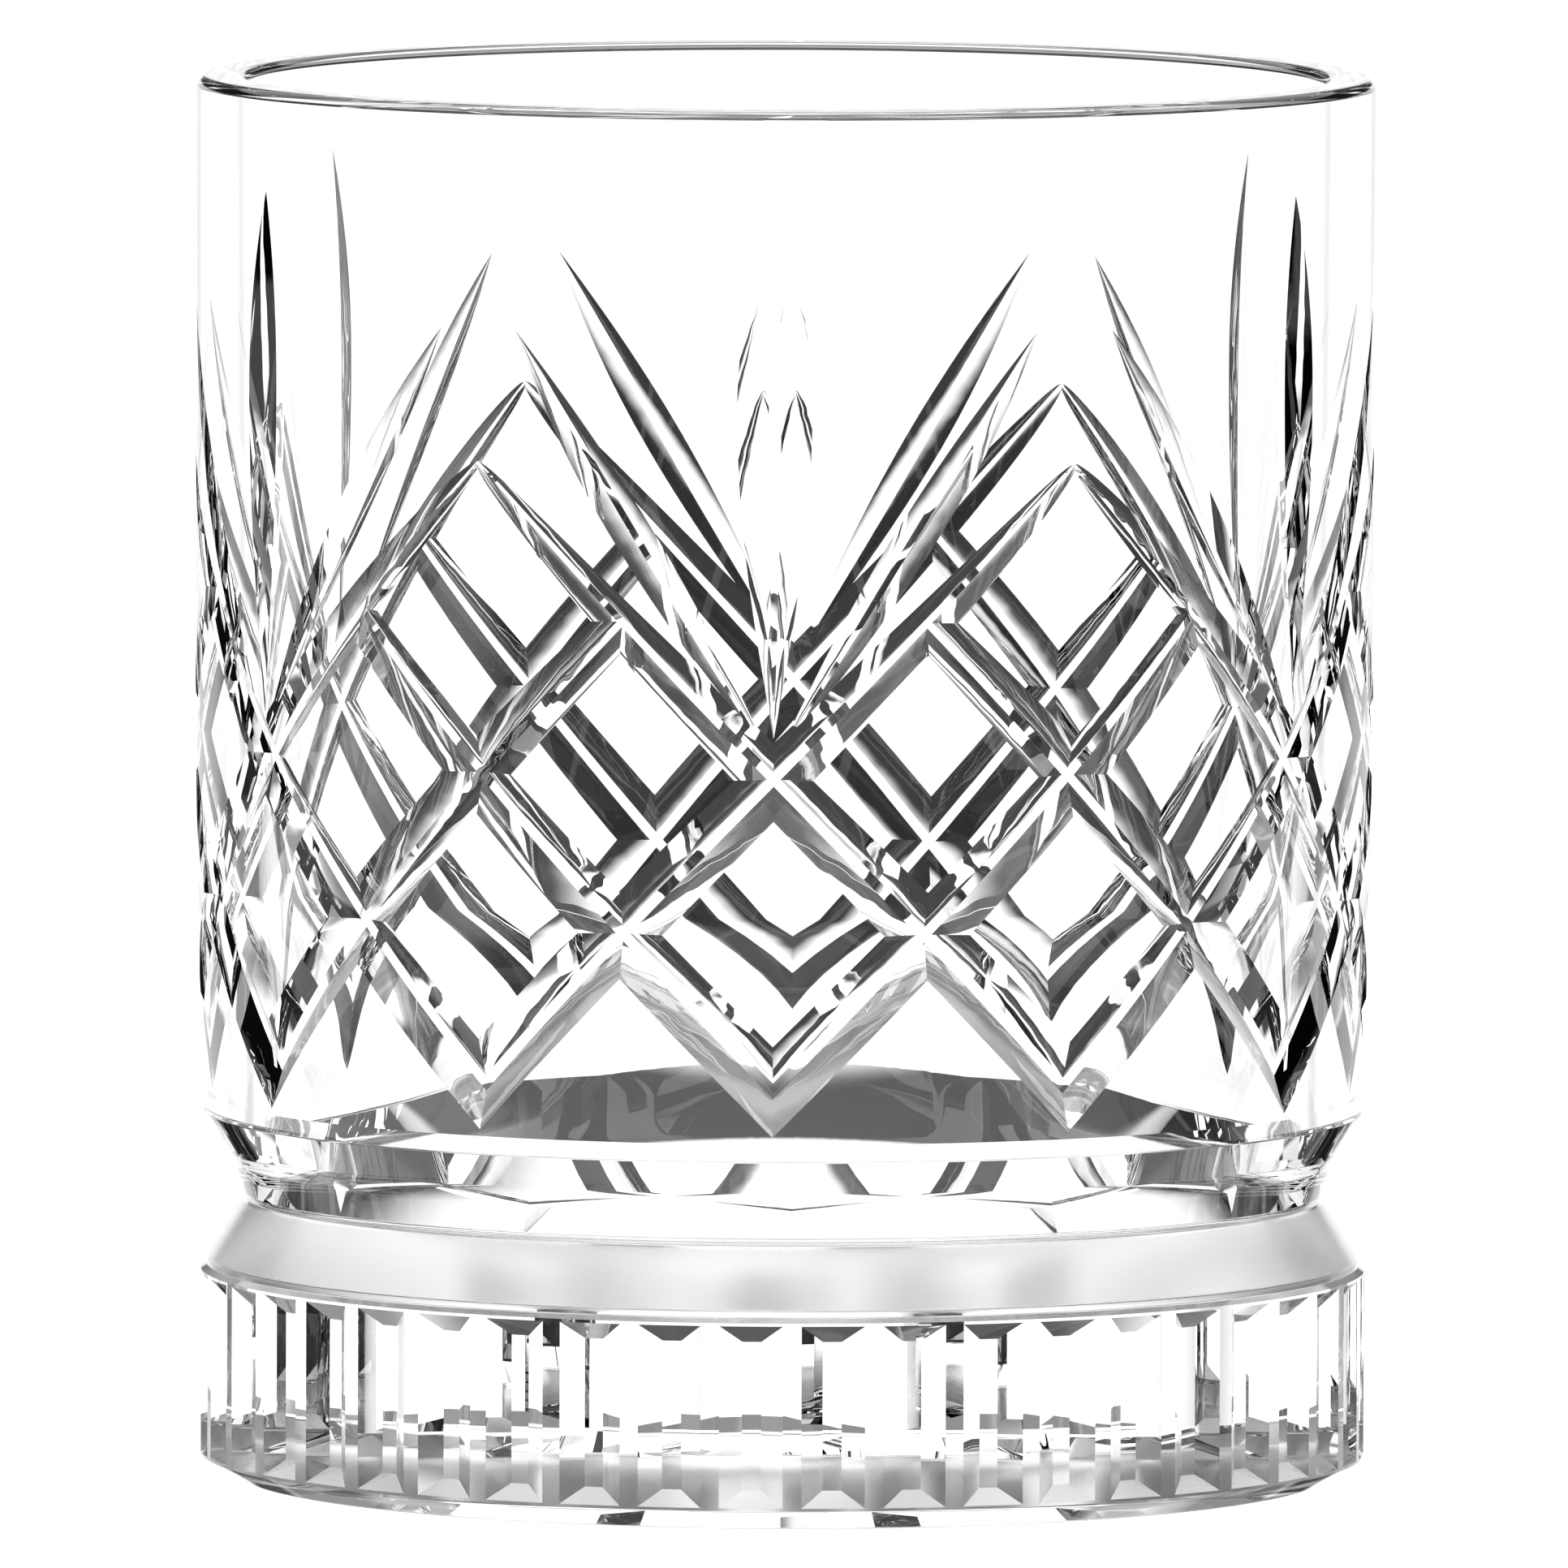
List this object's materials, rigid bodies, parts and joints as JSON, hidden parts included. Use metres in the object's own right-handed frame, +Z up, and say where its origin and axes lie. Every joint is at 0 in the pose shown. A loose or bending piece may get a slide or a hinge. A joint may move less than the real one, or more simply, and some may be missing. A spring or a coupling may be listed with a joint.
{
  "type": "whiskey tumbler",
  "caption": "Short straight-sided drinking glass of clear cut crystal, with a criss-cross and fan cut bowl on a heavy solid foot with sunken panels.",
  "frame": {"origin": "centre of the flat base, on the surface that the tumbler stands on", "axes": "+Z up along the axis of the tumbler; the middle of one fan of the cut pattern faces -Y; +X to the right of it"},
  "size_m": [0.082, 0.082, 0.0977],
  "materials": {
    "crystal": "clear polished crystal"
  },
  "bodies": {
    "root": {"tumbler": "crystal"}
  },
  "joints": []
}
